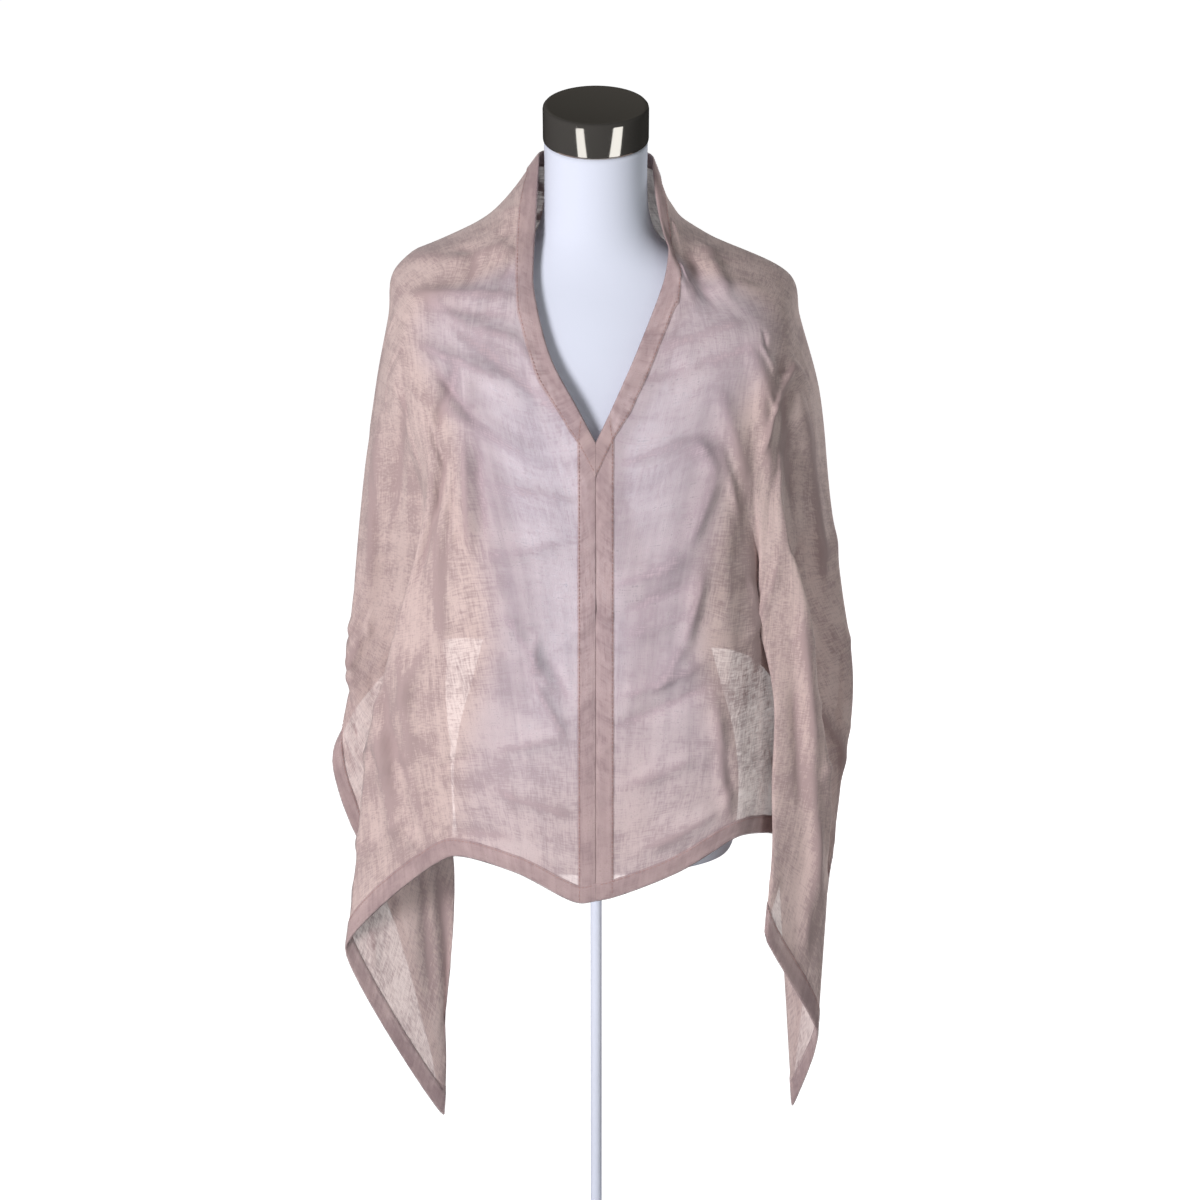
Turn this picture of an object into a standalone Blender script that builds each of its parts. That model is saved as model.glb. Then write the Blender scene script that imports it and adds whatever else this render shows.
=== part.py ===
"""A see-through gauze poncho resting on a limbless dress form with a pole and a round base.

The poncho is one long rectangle of cloth. The middle of its upper long edge stands as a collar behind
the neck. That edge runs down both sides of the V neck, and its two ends are joined edge to edge down
the centre front. The short ends are the front hem, which runs from the centre seam out to two hanging
corner tips, and the lower long edge goes round behind.

The cloth is a smooth sheet through fold lines that run from the neck edge down to the lower edge.
A fold line is a column of the tables below, and a row is one level down the cloth. Sizes are in
millimetres: reach out to the side, depth back from the middle of the form, height over the floor.
"""
import bpy
import math
import numpy as np

MM = 0.001

# Cloth
WALL = 1.2 * MM              # wall of a panel
HEM_WALL = 1.8 * MM          # wall of a folded hem, three layers
HEM_WIDTH = 18 * MM
SEAM_GAP = 0.3 * MM          # between the two centre hems
HEM_GAP = 0.8 * MM           # between a hem and the panel, which twist where the cloth folds
TIP_GAP = 2 * MM             # that the hems stop short of a corner tip
DOWN_STEPS = 23              # facets from the neck edge to the lower edge
LEAST_TURN = 0.5             # cosine of half the sharpest fold that a wall allows for

# Dress form
FORM_BOTTOM = 490 * MM
NECK_LEAN = math.radians(18)         # the top of the neck slopes down to the front
CAP_RADIUS = 52.5 * MM
CAP_HEIGHT = 37.5 * MM
POLE_RADIUS = 6 * MM
BASE_RADIUS = 150 * MM
BASE_HEIGHT = 12 * MM
TOUCH = 0.3 * MM             # clearance between touching pieces
FORM_SIDES = 40
TURNED_SIDES = 48
DISC_EDGE = 3 * MM           # rounding of the cap and the base

FORM_RINGS = (
    # height, half width, front, back, lean of the ring (share of NECK_LEAN)
    (490, 132, 82, 82, 0.0),
    (493, 139, 89, 89, 0.0),
    (503, 144, 93, 93, 0.0),
    (560, 149, 96, 101, 0.0),
    (620, 143, 93, 98, 0.0),
    (680, 127, 85, 86, 0.0),
    (740, 113, 78, 74, 0.0),
    (790, 114, 82, 74, 0.0),
    (840, 123, 99, 80, 0.0),
    (885, 132, 112, 87, 0.0),
    (925, 138, 108, 93, 0.0),
    (960, 145, 98, 97, 0.0),
    (992, 162, 88, 98, 0.0),
    (1024, 181, 79, 96, 0.0),
    (1053, 186, 69, 90, 0.0),
    (1073, 177, 61, 83, 0.0),
    (1088, 156, 55, 77, 0.0),
    (1104, 117, 50, 69, 0.0),
    (1120, 82, 47, 63, 0.1),
    (1138, 61, 45, 57, 0.3),
    (1160, 53, 45, 53, 0.6),
    (1194, 51, 47, 51, 0.9),
    (1230, 51.5, 50, 50, 1.0),
)
NECK_TOP = (-4, 1230)        # depth and height of the middle of the neck's top face

LEVELS = ("neck edge", "collar foot", "shoulder", "upper arm", "chest", "bust", "waist", "hip",
          "low hip", "wing", "lower edge")

# One row for each level, one (reach, depth, height) for each fold line.
LEFT_FOLDS = ("centre", "placket", "bust", "side", "ridge", "tuck", "flap", "outer", "blade", "back")
LEFT_LEVELS = (
    ((0, -118, 946), (18, -111, 979), (46, -92, 1030), (62, -62, 1095), (60, -32, 1150),
     (58, -6, 1190), (57, 10, 1207), (56, 28, 1215), (36, 55, 1214), (0, 67, 1206)),
    ((0, -124, 915), (18, -120, 936), (58, -105, 985), (82, -80, 1060), (92, -56, 1112),
     (97, -28, 1142), (101, -2, 1153), (103, 22, 1158), (72, 76, 1152), (0, 84, 1146)),
    ((0, -130, 880), (18, -128, 892), (66, -119, 940), (106, -98, 1008), (140, -84, 1052),
     (172, -50, 1086), (191, -20, 1098), (201, 8, 1102), (142, 98, 1078), (0, 104, 1080)),
    ((0, -132, 862), (18, -131, 871), (69, -125, 915), (116, -105, 975), (153, -92, 1008),
     (190, -56, 1038), (205, -24, 1048), (208, 6, 1056), (158, 104, 1033), (0, 110, 1043)),
    ((0, -134, 842), (18, -134, 850), (72, -130, 890), (126, -110, 938), (164, -97, 962),
     (200, -62, 982), (216, -28, 986), (222, 8, 985), (170, 108, 985), (0, 116, 1005)),
    ((0, -136, 800), (18, -136, 806), (76, -136, 835), (136, -116, 872), (166, -102, 888),
     (174, -62, 884), (210, -30, 880), (239, 8, 870), (182, 114, 905), (0, 122, 935)),
    ((0, -138, 735), (18, -139, 738), (80, -138, 755), (142, -120, 765), (197, -92, 765),
     (158, -46, 752), (206, 4, 756), (250, 18, 768), (188, 120, 838), (0, 126, 862)),
    ((0, -140, 655), (18, -141, 657), (82, -139, 668), (145, -120, 675), (221, -82, 675),
     (153, -30, 650), (212, 28, 660), (258, 28, 700), (190, 124, 786), (0, 129, 802)),
    ((0, -141, 590), (18, -141, 591), (83, -139, 605), (146, -119, 610), (238, -66, 590),
     (150, -8, 540), (212, 32, 580), (260, 36, 655), (190, 126, 745), (0, 131, 748)),
    ((0, -142, 535), (18, -142, 536), (83, -138, 556), (146, -118, 562), (248, -48, 500),
     (150, 22, 380), (214, 50, 476), (268, 44, 615), (187, 127, 712), (0, 133, 702)),
    ((0, -142, 484), (18, -142, 482), (83, -136, 513), (146, -115, 522), (264, -22, 388),
     (168, 76, 155), (216, 76, 372), (279, 50, 581), (182, 128, 680), (0, 134, 664)),
)
LEFT_ROUND = (1.0, 1.0, 1.0, 0.6, 0.45, 0.5, 0.9, 0.75, 1.0, 1.0)

RIGHT_FOLDS = ("centre", "placket", "bust", "side", "valley", "inner", "ridge", "tuck", "flap",
               "outer", "blade")
RIGHT_LEVELS = (
    ((0, -118, 946), (18, -110, 983), (42, -91, 1035), (68, -62, 1100), (72, -48, 1126),
     (67, -36, 1142), (63, -22, 1158), (59, -5, 1182), (57, 10, 1203), (56, 27, 1212),
     (36, 55, 1214)),
    ((0, -124, 915), (18, -120, 937), (57, -105, 988), (86, -80, 1062), (92, -70, 1082),
     (91, -60, 1094), (90, -48, 1108), (88, -28, 1130), (86, -5, 1145), (84, 22, 1152),
     (62, 74, 1154)),
    ((0, -130, 880), (18, -128, 893), (66, -119, 943), (110, -98, 1010), (132, -92, 1030),
     (148, -85, 1044), (162, -75, 1056), (178, -50, 1070), (190, -20, 1084), (196, 8, 1094),
     (142, 98, 1074)),
    ((0, -132, 862), (18, -131, 872), (69, -125, 918), (116, -106, 976), (139, -99, 990),
     (156, -93, 1000), (173, -83, 1010), (192, -56, 1024), (203, -24, 1036), (204, 6, 1058),
     (158, 104, 1030)),
    ((0, -134, 842), (18, -134, 851), (72, -130, 892), (122, -112, 940), (146, -105, 950),
     (162, -98, 957), (182, -88, 964), (204, -62, 975), (219, -28, 980), (226, 8, 978),
     (170, 108, 980)),
    ((0, -136, 800), (18, -136, 806), (76, -136, 835), (128, -119, 872), (150, -99, 878),
     (164, -98, 882), (184, -94, 885), (190, -60, 882), (214, -28, 874), (240, 10, 866),
     (182, 114, 900)),
    ((0, -138, 735), (18, -139, 738), (82, -139, 755), (132, -124, 765), (176, -62, 768),
     (165, -90, 765), (214, -86, 765), (184, -38, 758), (214, 2, 752), (255, 22, 764),
     (186, 120, 826)),
    ((0, -140, 655), (18, -141, 657), (90, -140, 668), (137, -124, 680), (196, -40, 684),
     (179, -94, 677), (224, -80, 678), (188, -26, 664), (222, 12, 658), (269, 32, 672),
     (184, 124, 768)),
    ((0, -141, 590), (18, -141, 591), (95, -139, 608), (143, -123, 618), (200, -32, 608),
     (178, -98, 592), (240, -70, 588), (188, -6, 548), (226, 22, 566), (267, 34, 600),
     (180, 126, 724)),
    ((0, -142, 535), (18, -142, 536), (90, -138, 556), (145, -121, 575), (202, -32, 560),
     (179, -98, 522), (240, -46, 450), (198, 20, 390), (222, 24, 446), (256, 34, 520),
     (176, 127, 692)),
    ((0, -142, 484), (18, -142, 488), (84, -136, 513), (145, -119, 545), (203, -28, 508),
     (173, -96, 431), (236, -10, 286), (215, 62, 172), (226, 42, 330), (247, 34, 452),
     (172, 128, 662)),
)
RIGHT_ROUND = (1.0, 1.0, 1.0, 0.7, 0.6, 0.3, 0.55, 0.5, 0.9, 0.75, 1.0)

# The folds of the whole cloth: left centre, round the back, to right centre.
FOLDS = (tuple("left " + fold for fold in LEFT_FOLDS)
         + tuple("right " + fold for fold in RIGHT_FOLDS[::-1]))
ROUND = LEFT_ROUND + RIGHT_ROUND[::-1]
# Facets from each fold line to the next.
ACROSS_STEPS = (1, 3, 3, 7, 6, 4, 4, 4, 3) + (3, 6, 6, 4, 4, 4, 4, 5, 3, 3, 1)


def through(rows, places, roundness):
    """A smooth cubic through the rows, read at each place: 0 is the first row, 1 the second."""
    gap = np.sqrt(np.linalg.norm(np.diff(rows, axis=0), axis=-1, keepdims=True)) + 1e-6
    slope = np.diff(rows, axis=0) / gap
    tangent = np.empty_like(rows)
    tangent[0] = slope[0]
    tangent[-1] = slope[-1]
    tangent[1:-1] = (slope[:-1] * gap[1:] + slope[1:] * gap[:-1]) / (gap[1:] + gap[:-1])
    spread = (-1,) + (1,) * (rows.ndim - 1)
    tangent = tangent * np.asarray(roundness).reshape(spread)
    first = np.clip(np.floor(places).astype(int), 0, len(rows) - 2)
    share = (places - first).reshape(spread)
    square = share * share
    cube = square * share
    return ((2 * cube - 3 * square + 1) * rows[first]
            + (cube - 2 * square + share) * tangent[first] * gap[first]
            + (3 * square - 2 * cube) * rows[first + 1]
            + (cube - square) * tangent[first + 1] * gap[first])


def cloth_table():
    """Fold lines of the whole cloth as one array: level, fold line, (x, y, z)."""
    left = np.array(LEFT_LEVELS) * (-MM, MM, MM)
    right = np.array(RIGHT_LEVELS)[:, ::-1] * (MM, MM, MM)
    table = np.concatenate((left, right), axis=1)
    table[:, 0, 0] = -SEAM_GAP / 2
    table[:, -1, 0] = SEAM_GAP / 2
    return table


def cloth_points(across, down):
    """Points of the cloth, for places across the fold lines and shares of the way down them."""
    lines = through(cloth_table(), down * (len(LEVELS) - 1), np.ones(len(LEVELS)))
    return through(lines.transpose(1, 0, 2), across, ROUND)


def outward(points):
    """Each grid point's way out from the form, longer at a sharp fold so that a wall keeps its depth."""
    along = np.diff(points, axis=0)
    along /= np.linalg.norm(along, axis=-1, keepdims=True)
    both = np.concatenate((along[:1], along)) + np.concatenate((along, along[-1:]))
    normal = np.cross(both, np.gradient(points, axis=1))
    normal[..., 0] = np.where(abs(points[..., 0]) < SEAM_GAP, 0.0, normal[..., 0])
    normal /= np.linalg.norm(normal, axis=-1, keepdims=True)
    half_turn = np.linalg.norm(both, axis=-1, keepdims=True) / 2
    return normal / np.clip(half_turn, LEAST_TURN, 1.0)


def make_material(name, colour, roughness, metallic=0.0):
    """A plain Principled material."""
    material = bpy.data.materials.new(name)
    material.use_nodes = True
    shader = material.node_tree.nodes["Principled BSDF"]
    shader.inputs["Base Color"].default_value = (*colour, 1.0)
    shader.inputs["Roughness"].default_value = roughness
    shader.inputs["Metallic"].default_value = metallic
    return material


def add_mesh(name, points, faces, material):
    """A smooth object from points and faces."""
    mesh = bpy.data.meshes.new(name)
    mesh.from_pydata([tuple(point) for point in points], [], faces)
    mesh.shade_smooth()
    mesh.materials.append(material)
    piece = bpy.data.objects.new(name, mesh)
    bpy.context.collection.objects.link(piece)
    return piece


def wall_faces(across, down):
    """Triangles of a closed wall whose outer grid comes first and whose inner grid follows."""
    outer = np.arange(across * down).reshape(across, down)
    inner = outer + across * down
    squares = []
    for i in range(across - 1):
        for j in range(down - 1):
            squares.append((outer[i, j], outer[i + 1, j], outer[i + 1, j + 1], outer[i, j + 1]))
            squares.append((inner[i + 1, j + 1], inner[i + 1, j], inner[i, j], inner[i, j + 1]))
    rim = [(i, 0) for i in range(across - 1)]
    rim += [(across - 1, j) for j in range(down - 1)]
    rim += [(i, down - 1) for i in range(across - 1, 0, -1)]
    rim += [(0, j) for j in range(down - 1, 0, -1)]
    for start, end in zip(rim, rim[1:] + rim[:1]):
        squares.append((outer[end], outer[start], inner[start], inner[end]))
    triangles = []
    for a, b, c, d in squares:
        triangles.append((int(a), int(b), int(c)))
        triangles.append((int(a), int(c), int(d)))
    return triangles


def add_wall(name, points, normal, inner, outer, material):
    """A closed wall between two offsets from a grid of points."""
    corners = np.concatenate(((points + normal * outer).reshape(-1, 3),
                              (points + normal * inner).reshape(-1, 3)))
    add_mesh(name, corners, wall_faces(*points.shape[:2]), material)


def hem_share(across, from_end):
    """The share of each line down the cloth that a hem of HEM_WIDTH covers from its edge."""
    share = np.linspace(0.0, 1.0, 241)
    points = cloth_points(across, 1 - share if from_end else share)
    edge = np.gradient(points[:, 0], axis=0)
    edge /= np.linalg.norm(edge, axis=-1, keepdims=True)
    lead = points[:, 4] - points[:, 0]
    lead /= np.linalg.norm(lead, axis=-1, keepdims=True)
    slant = np.sqrt(np.clip(1 - np.sum(edge * lead, axis=-1) ** 2, 0.3, 1.0))
    step = np.linalg.norm(np.diff(points, axis=1), axis=-1)
    run = np.concatenate((np.zeros((len(across), 1)), np.cumsum(step, axis=1)), axis=1)
    return np.array([np.interp(HEM_WIDTH / s, line, share) for s, line in zip(slant, run)])


def cloth_grid():
    """The places across the cloth, and a grid of points whose end rows are as wide as a hem."""
    across = [np.linspace(fold, fold + 1, steps, endpoint=False)
              for fold, steps in enumerate(ACROSS_STEPS)]
    across = np.append(np.concatenate(across), len(FOLDS) - 1.0)
    first = hem_share(across, False)
    last = 1 - hem_share(across, True)
    middle = np.linspace(0.0, 1.0, DOWN_STEPS - 1)
    lines = []
    for place, start, end in zip(across, first, last):
        down = np.concatenate(([0.0], start + (end - start) * middle, [1.0]))
        lines.append(cloth_points(np.array([place]), down)[0])
    return across, np.array(lines)


def drawn_in(grid, start, end):
    """A grid whose first and last columns are moved in, square to themselves, by the lengths given."""
    short = grid.copy()
    for column, beside, length in ((0, 1, start), (-1, -2, end)):
        edge = np.gradient(grid[column], axis=0)
        edge /= np.linalg.norm(edge, axis=-1, keepdims=True)
        lead = grid[beside] - grid[column]
        lead -= edge * np.sum(edge * lead, axis=-1, keepdims=True)
        short[column] += lead / np.linalg.norm(lead, axis=-1, keepdims=True) * length
    return short


def add_cloth(gauze, hem):
    """The panel, and its folded hems, which are thicker and follow on from it at every edge."""
    across, points = cloth_grid()
    normal = outward(points)
    gap = HEM_GAP / 2
    last = len(across) - 1
    left_tip = int(np.searchsorted(across, FOLDS.index("left tuck")))
    right_tip = int(np.searchsorted(across, FOLDS.index("right tuck")))
    left_placket = ACROSS_STEPS[0]
    right_placket = last - ACROSS_STEPS[-1]

    def add_piece(name, columns, rows, side_gaps, end_gaps, wall, material):
        """A part of the cloth, drawn in at its sides, and at its ends more where it folds."""
        patch = (slice(columns[0], columns[1] + 1), slice(rows[0], rows[1]))
        wider = np.linalg.norm(normal[patch], axis=-1, keepdims=True) ** 2
        middle = drawn_in(points[patch], *side_gaps).transpose(1, 0, 2)
        middle = drawn_in(middle, end_gaps[0] * wider[:, 0], end_gaps[1] * wider[:, -1])
        middle = middle.transpose(1, 0, 2)
        add_wall(name, middle, normal[patch], -wall / 2, wall / 2, material)

    between = (gap, gap)
    add_piece("panel", (left_placket, right_placket), (1, -1), between, between, WALL, gauze)
    add_piece("left_centre_hem", (0, left_placket), (1, -1), (0, gap), between, HEM_WALL, hem)
    add_piece("right_centre_hem", (right_placket, last), (1, -1), (gap, 0), between, HEM_WALL, hem)
    add_piece("neck_hem", (0, last), (0, 2), (0, 0), (0, gap), HEM_WALL, hem)
    add_piece("left_front_hem", (0, left_tip), (-2, None), (0, TIP_GAP), (gap, 0), HEM_WALL, hem)
    add_piece("lower_hem", (left_tip, right_tip), (-2, None), (TIP_GAP, TIP_GAP), (gap, 0),
              HEM_WALL, hem)
    add_piece("right_front_hem", (right_tip, last), (-2, None), (TIP_GAP, 0), (gap, 0),
              HEM_WALL, hem)


def ring(half_width, front, back, middle, lean):
    """A closed oval: an ellipse to the front and another to the back, leaning to the front."""
    angle = np.linspace(0.0, 2 * math.pi, FORM_SIDES, endpoint=False)
    x = half_width * np.cos(angle)
    y = np.where(np.sin(angle) < 0, front, back) * np.sin(angle)
    return np.stack((x, middle[0] + y * math.cos(lean), middle[1] + y * math.sin(lean)), axis=-1)


def tube_faces(levels, sides):
    """Faces of a closed tube of rings, bottom to top, with flat ends."""
    faces = []
    for level in range(levels - 1):
        for i in range(sides):
            low = level * sides
            after = (i + 1) % sides
            faces.append((low + i, low + after, low + sides + after, low + sides + i))
    faces.append(tuple(range(sides))[::-1])
    faces.append(tuple(range((levels - 1) * sides, levels * sides)))
    return faces


def add_form(material):
    """The torso with its neck: a smooth loft through its rings."""
    rings = []
    for height, half_width, front, back, share in FORM_RINGS:
        middle = (NECK_TOP[0] * share * MM, height * MM)
        rings.append(ring(half_width * MM, front * MM, back * MM, middle, NECK_LEAN * share))
    add_mesh("dress_form", np.concatenate(rings), tube_faces(len(rings), FORM_SIDES), material)


def turned(name, profile, material, location=(0, 0, 0), lean=0.0):
    """A piece turned about its own upright axis from (radius, height) pairs, bottom to top."""
    angle = np.linspace(0.0, 2 * math.pi, TURNED_SIDES, endpoint=False)
    corners = [(radius * math.cos(a), radius * math.sin(a), height)
               for radius, height in profile for a in angle]
    piece = add_mesh(name, corners, tube_faces(len(profile), TURNED_SIDES), material)
    piece.data.set_sharp_from_angle(angle=math.radians(40))
    piece.location = location
    piece.rotation_euler = (lean, 0, 0)


def rounded_disc(radius, height):
    """The profile of a disc with rounded edges."""
    turns = np.linspace(0.0, math.pi / 2, 4)
    inner = radius - DISC_EDGE
    low = [(inner + DISC_EDGE * math.sin(a), DISC_EDGE * (1 - math.cos(a))) for a in turns]
    high = [(inner + DISC_EDGE * math.cos(a), height - DISC_EDGE * (1 - math.sin(a)))
            for a in turns]
    return low + high


def add_stand(white, chrome):
    """The neck cap, the pole and the round base."""
    cap_place = (0, NECK_TOP[0] * MM - TOUCH * math.sin(NECK_LEAN),
                 NECK_TOP[1] * MM + TOUCH * math.cos(NECK_LEAN))
    turned("neck_cap", rounded_disc(CAP_RADIUS, CAP_HEIGHT), chrome, cap_place, NECK_LEAN)
    turned("pole", [(POLE_RADIUS, BASE_HEIGHT + TOUCH), (POLE_RADIUS, FORM_BOTTOM - TOUCH)], white)
    turned("base", rounded_disc(BASE_RADIUS, BASE_HEIGHT), white)


def main():
    """Clear the scene and build every piece."""
    for old in list(bpy.data.objects):
        bpy.data.objects.remove(old, do_unlink=True)
    gauze = make_material("gauze", (0.62, 0.47, 0.45), 0.85)
    hem = make_material("gauze_hem", (0.42, 0.28, 0.26), 0.85)
    white = make_material("white_shell", (0.85, 0.87, 0.92), 0.3)
    chrome = make_material("chrome", (0.55, 0.55, 0.55), 0.08, 1.0)
    add_cloth(gauze, hem)
    add_form(white)
    add_stand(white, chrome)


main()
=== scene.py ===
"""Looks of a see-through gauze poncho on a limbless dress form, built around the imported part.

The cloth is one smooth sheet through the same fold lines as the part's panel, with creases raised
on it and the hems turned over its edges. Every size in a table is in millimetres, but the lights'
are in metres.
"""
import math

import bpy
import numpy as np
from bpy.props import FloatProperty, FloatVectorProperty, IntProperty, PointerProperty
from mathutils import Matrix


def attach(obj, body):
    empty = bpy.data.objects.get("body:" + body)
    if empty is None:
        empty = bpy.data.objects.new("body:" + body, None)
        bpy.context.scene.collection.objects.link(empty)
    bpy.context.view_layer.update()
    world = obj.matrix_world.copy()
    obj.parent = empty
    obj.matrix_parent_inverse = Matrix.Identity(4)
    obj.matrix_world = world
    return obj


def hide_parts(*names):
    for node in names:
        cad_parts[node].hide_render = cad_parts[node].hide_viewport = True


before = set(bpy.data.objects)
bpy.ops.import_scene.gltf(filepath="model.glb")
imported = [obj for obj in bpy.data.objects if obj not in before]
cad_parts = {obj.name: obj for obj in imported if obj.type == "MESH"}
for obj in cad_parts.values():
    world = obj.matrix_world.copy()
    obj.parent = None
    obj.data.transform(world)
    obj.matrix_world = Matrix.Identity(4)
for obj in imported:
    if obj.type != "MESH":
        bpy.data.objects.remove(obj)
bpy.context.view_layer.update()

bl_info = {
    "name": "Gauze Poncho on Dress Form",
    "version": (1, 0, 0),
    "blender": (4, 5, 0),
    "location": "View3D > Sidebar > Poncho",
    "description": "Builds a see-through gauze poncho, its dress form and a plain stage",
    "category": "Object",
}

MM = 0.001

# Fold lines of the cloth, as in the part: a row for each level down the cloth, from the neck edge
# to the lower edge, and one (reach, depth, height) in it for each fold line, from the centre front.
LEFT_FOLDS = ("centre", "placket", "bust", "side", "ridge", "tuck", "flap", "outer", "blade",
              "back")
LEFT_LEVELS = (
    ((0, -118, 946), (18, -111, 979), (46, -92, 1030), (62, -62, 1095), (60, -32, 1150),
     (58, -6, 1190), (57, 10, 1207), (56, 28, 1215), (36, 55, 1214), (0, 67, 1206)),
    ((0, -124, 915), (18, -120, 936), (58, -105, 985), (82, -80, 1060), (92, -56, 1112),
     (97, -28, 1142), (101, -2, 1153), (103, 22, 1158), (72, 76, 1152), (0, 84, 1146)),
    ((0, -130, 880), (18, -128, 892), (66, -119, 940), (106, -98, 1008), (140, -84, 1052),
     (172, -50, 1086), (191, -20, 1098), (201, 8, 1102), (142, 98, 1078), (0, 104, 1080)),
    ((0, -132, 862), (18, -131, 871), (69, -125, 915), (116, -105, 975), (153, -92, 1008),
     (190, -56, 1038), (205, -24, 1048), (208, 6, 1056), (158, 104, 1033), (0, 110, 1043)),
    ((0, -134, 842), (18, -134, 850), (72, -130, 890), (126, -110, 938), (164, -97, 962),
     (200, -62, 982), (216, -28, 986), (222, 8, 985), (170, 108, 985), (0, 116, 1005)),
    ((0, -136, 800), (18, -136, 806), (76, -136, 835), (136, -116, 872), (166, -102, 888),
     (174, -62, 884), (210, -30, 880), (239, 8, 870), (182, 114, 905), (0, 122, 935)),
    ((0, -138, 735), (18, -139, 738), (80, -138, 755), (142, -120, 765), (197, -92, 765),
     (158, -46, 752), (206, 4, 756), (250, 18, 768), (188, 120, 838), (0, 126, 862)),
    ((0, -140, 655), (18, -141, 657), (82, -139, 668), (145, -120, 675), (221, -82, 675),
     (153, -30, 650), (212, 28, 660), (258, 28, 700), (190, 124, 786), (0, 129, 802)),
    ((0, -141, 590), (18, -141, 591), (83, -139, 605), (146, -119, 610), (238, -66, 590),
     (150, -8, 540), (212, 32, 580), (260, 36, 655), (190, 126, 745), (0, 131, 748)),
    ((0, -142, 535), (18, -142, 536), (83, -138, 556), (146, -118, 562), (248, -48, 500),
     (150, 22, 380), (214, 50, 476), (268, 44, 615), (187, 127, 712), (0, 133, 702)),
    ((0, -142, 484), (18, -142, 482), (83, -136, 513), (146, -115, 522), (264, -22, 388),
     (168, 76, 155), (216, 76, 372), (279, 50, 581), (182, 128, 680), (0, 134, 664)),
)
LEFT_ROUND = (1.0, 1.0, 1.0, 0.6, 0.45, 0.5, 0.9, 0.75, 1.0, 1.0)

RIGHT_FOLDS = ("centre", "placket", "bust", "side", "valley", "inner", "ridge", "tuck", "flap",
               "outer", "blade")
RIGHT_LEVELS = (
    ((0, -118, 946), (18, -110, 983), (42, -91, 1035), (68, -62, 1100), (72, -48, 1126),
     (67, -36, 1142), (63, -22, 1158), (59, -5, 1182), (57, 10, 1203), (56, 27, 1212),
     (36, 55, 1214)),
    ((0, -124, 915), (18, -120, 937), (57, -105, 988), (86, -80, 1062), (92, -70, 1082),
     (91, -60, 1094), (90, -48, 1108), (88, -28, 1130), (86, -5, 1145), (84, 22, 1152),
     (62, 74, 1154)),
    ((0, -130, 880), (18, -128, 893), (66, -119, 943), (110, -98, 1010), (132, -92, 1030),
     (148, -85, 1044), (162, -75, 1056), (178, -50, 1070), (190, -20, 1084), (196, 8, 1094),
     (142, 98, 1074)),
    ((0, -132, 862), (18, -131, 872), (69, -125, 918), (116, -106, 976), (139, -99, 990),
     (156, -93, 1000), (173, -83, 1010), (192, -56, 1024), (203, -24, 1036), (204, 6, 1058),
     (158, 104, 1030)),
    ((0, -134, 842), (18, -134, 851), (72, -130, 892), (122, -112, 940), (146, -105, 950),
     (162, -98, 957), (182, -88, 964), (204, -62, 975), (219, -28, 980), (226, 8, 978),
     (170, 108, 980)),
    ((0, -136, 800), (18, -136, 806), (76, -136, 835), (128, -119, 872), (150, -99, 878),
     (164, -98, 882), (184, -94, 885), (190, -60, 882), (214, -28, 874), (240, 10, 866),
     (182, 114, 900)),
    ((0, -138, 735), (18, -139, 738), (82, -139, 755), (132, -124, 765), (176, -62, 768),
     (165, -90, 765), (214, -86, 765), (184, -38, 758), (214, 2, 752), (255, 22, 764),
     (186, 120, 826)),
    ((0, -140, 655), (18, -141, 657), (90, -140, 668), (137, -124, 680), (196, -40, 684),
     (179, -94, 677), (224, -80, 678), (188, -26, 664), (222, 12, 658), (269, 32, 672),
     (184, 124, 768)),
    ((0, -141, 590), (18, -141, 591), (95, -139, 608), (143, -123, 618), (200, -32, 608),
     (178, -98, 592), (240, -70, 588), (188, -6, 548), (226, 22, 566), (267, 34, 600),
     (180, 126, 724)),
    ((0, -142, 535), (18, -142, 536), (90, -138, 556), (145, -121, 575), (202, -32, 560),
     (179, -98, 522), (240, -46, 450), (198, 20, 390), (222, 24, 446), (256, 34, 520),
     (176, 127, 692)),
    ((0, -142, 484), (18, -142, 488), (84, -136, 513), (145, -119, 545), (203, -28, 508),
     (173, -96, 431), (236, -10, 286), (215, 62, 172), (226, 42, 330), (247, 34, 452),
     (172, 128, 662)),
)
RIGHT_ROUND = (1.0, 1.0, 1.0, 0.7, 0.6, 0.3, 0.55, 0.5, 0.9, 0.75, 1.0)

FOLDS = (tuple("left " + fold for fold in LEFT_FOLDS)
         + tuple("right " + fold for fold in RIGHT_FOLDS[::-1]))
ROUND = LEFT_ROUND + RIGHT_ROUND[::-1]
CENTRE_GAP = 0.3 * MM        # between the two joined edges at the centre front

FORM_RINGS = (
    # height, half width, front, back, lean of the ring (share of NECK_LEAN)
    (490, 132, 82, 82, 0.0),
    (493, 139, 89, 89, 0.0),
    (503, 144, 93, 93, 0.0),
    (560, 149, 96, 101, 0.0),
    (620, 143, 93, 98, 0.0),
    (680, 127, 85, 86, 0.0),
    (740, 113, 78, 74, 0.0),
    (790, 114, 82, 74, 0.0),
    (840, 123, 99, 80, 0.0),
    (885, 132, 112, 87, 0.0),
    (925, 138, 108, 93, 0.0),
    (960, 145, 98, 97, 0.0),
    (992, 162, 88, 98, 0.0),
    (1024, 181, 79, 96, 0.0),
    (1053, 186, 69, 90, 0.0),
    (1073, 177, 61, 83, 0.0),
    (1088, 156, 55, 77, 0.0),
    (1104, 117, 50, 69, 0.0),
    (1120, 82, 47, 63, 0.1),
    (1138, 61, 45, 57, 0.3),
    (1160, 53, 45, 53, 0.6),
    (1194, 51, 47, 51, 0.9),
    (1230, 51.5, 50, 50, 1.0),
)
NECK_LEAN = math.radians(18)
NECK_TOP = (-4, 1230)        # depth and height of the middle of the neck's top face
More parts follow.
